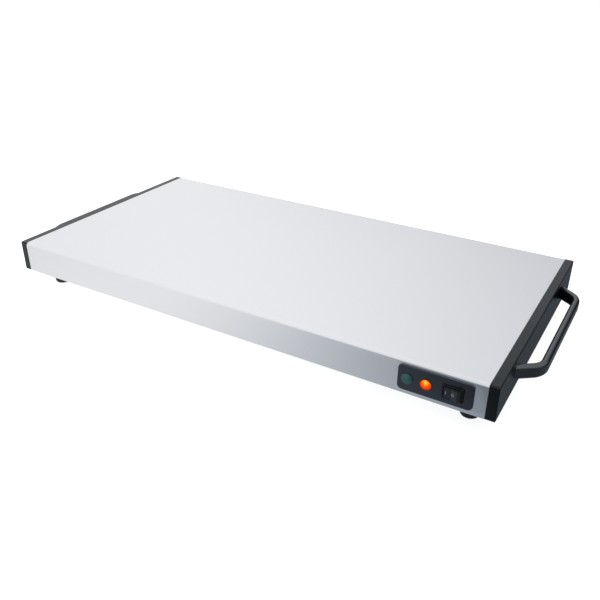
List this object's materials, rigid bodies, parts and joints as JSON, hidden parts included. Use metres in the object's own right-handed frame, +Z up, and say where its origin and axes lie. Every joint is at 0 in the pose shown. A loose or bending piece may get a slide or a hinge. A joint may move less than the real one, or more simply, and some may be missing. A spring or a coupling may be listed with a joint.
{
  "type": "electric warming tray",
  "caption": "Flat electric warming tray: brushed steel plate between black end caps with loop handles, rubber feet, and a front panel with signal lamps and a rocker switch.",
  "frame": {"origin": "on the floor below the middle of the tray", "axes": "+X to the right along the tray, towards the end with the switch; +Y to the back; +Z up"},
  "size_m": [0.6696, 0.324, 0.0606],
  "materials": {
    "brushed_stainless": "fine lengthwise brushed stainless sheet",
    "plated_sheet": "galvanised steel sheet",
    "cap_plastic": "black moulded phenolic, satin",
    "handle_plastic": "black moulded phenolic, satin",
    "panel_plastic": "black moulded plastic with a fine grain",
    "switch_plastic": "black glossy nylon",
    "rocker_plastic": "black glossy nylon",
    "green_lens": "green moulded lamp lens",
    "amber_lens": "amber moulded lamp lens",
    "neon_glass": "clear glass with an orange glow",
    "foot_rubber": "black rubber, matte",
    "bushing_nylon": "black nylon",
    "fastener_steel": "zinc plated steel",
    "aluminium_sheet": "mill finish",
    "element_sheath": "annealed steel tube, dark",
    "ceramic": "glazed ceramic",
    "mineral_board": "pressed mineral fibre board",
    "bakelite": "brown phenolic",
    "brass": "plain brass",
    "contact_copper": "copper alloy spring strip",
    "spring_steel": "bright spring wire",
    "acetal": "natural acetal",
    "brown_sleeve": "brown silicone sleeve",
    "black_sleeve": "black silicone sleeve",
    "blue_sleeve": "blue silicone sleeve",
    "earth_sleeve": "green and yellow silicone sleeve"
  },
  "bodies": {
    "tray": {"top_shell": "brushed_stainless", "bottom_plate": "plated_sheet", "left_end_cap": "cap_plastic", "right_end_cap": "cap_plastic", "left_handle": "handle_plastic", "right_handle": "handle_plastic", "handle_screws": "fastener_steel", "base_screws": "fastener_steel", "foot_front_left": "foot_rubber", "foot_front_right": "foot_rubber", "foot_back_left": "foot_rubber", "foot_back_right": "foot_rubber", "foot_screws": "fastener_steel", "foot_nuts": "fastener_steel", "control_fascia": "panel_plastic", "ready_lamp_lens": "green_lens", "heating_lamp_lens": "amber_lens", "lamp_clips": "spring_steel", "lamp_bodies": "panel_plastic", "neon_bulbs": "neon_glass", "switch_housing": "switch_plastic", "switch_common_terminal": "brass", "switch_live_terminal": "brass", "heat_spreader": "aluminium_sheet", "heating_element": "element_sheath", "element_clips": "aluminium_sheet", "element_end_seals": "ceramic", "element_pins": "fastener_steel", "insulation_board": "mineral_board", "press_plate": "plated_sheet", "weld_studs": "fastener_steel", "stud_nuts": "fastener_steel", "thermostat": "bakelite", "thermal_fuse": "ceramic", "fuse_clip": "spring_steel", "terminal_block": "ceramic", "terminal_screws": "brass", "earth_stud": "fastener_steel", "earth_tag": "brass", "earth_nut": "fastener_steel", "supply_lead": "brown_sleeve", "switched_lead": "black_sleeve", "fuse_lead": "black_sleeve", "element_lead": "black_sleeve", "neutral_lead": "blue_sleeve", "earth_lead": "earth_sleeve", "cord_bushing": "bushing_nylon"},
    "rocker": {"switch_rocker": "rocker_plastic", "switch_plunger": "acetal", "switch_spring": "spring_steel"},
    "contact": {"switch_contact": "contact_copper"}
  },
  "joints": [
    {"name": "rocker_tilt", "type": "hinge", "parent": "tray", "child": "rocker", "pos_m": [0.2689, -0.155, 0.0407], "axis": [0, 0, 1], "range_deg": [0, 28]},
    {"name": "contact_rock", "type": "hinge", "parent": "tray", "child": "contact", "pos_m": [0.2689, -0.1473, 0.0407], "axis": [0, 0, 1], "range_deg": [-16.8, 0]}
  ],
  "couplings": [
    {"joint": "contact_rock", "follows": "rocker_tilt", "ratio": -0.6}
  ]
}
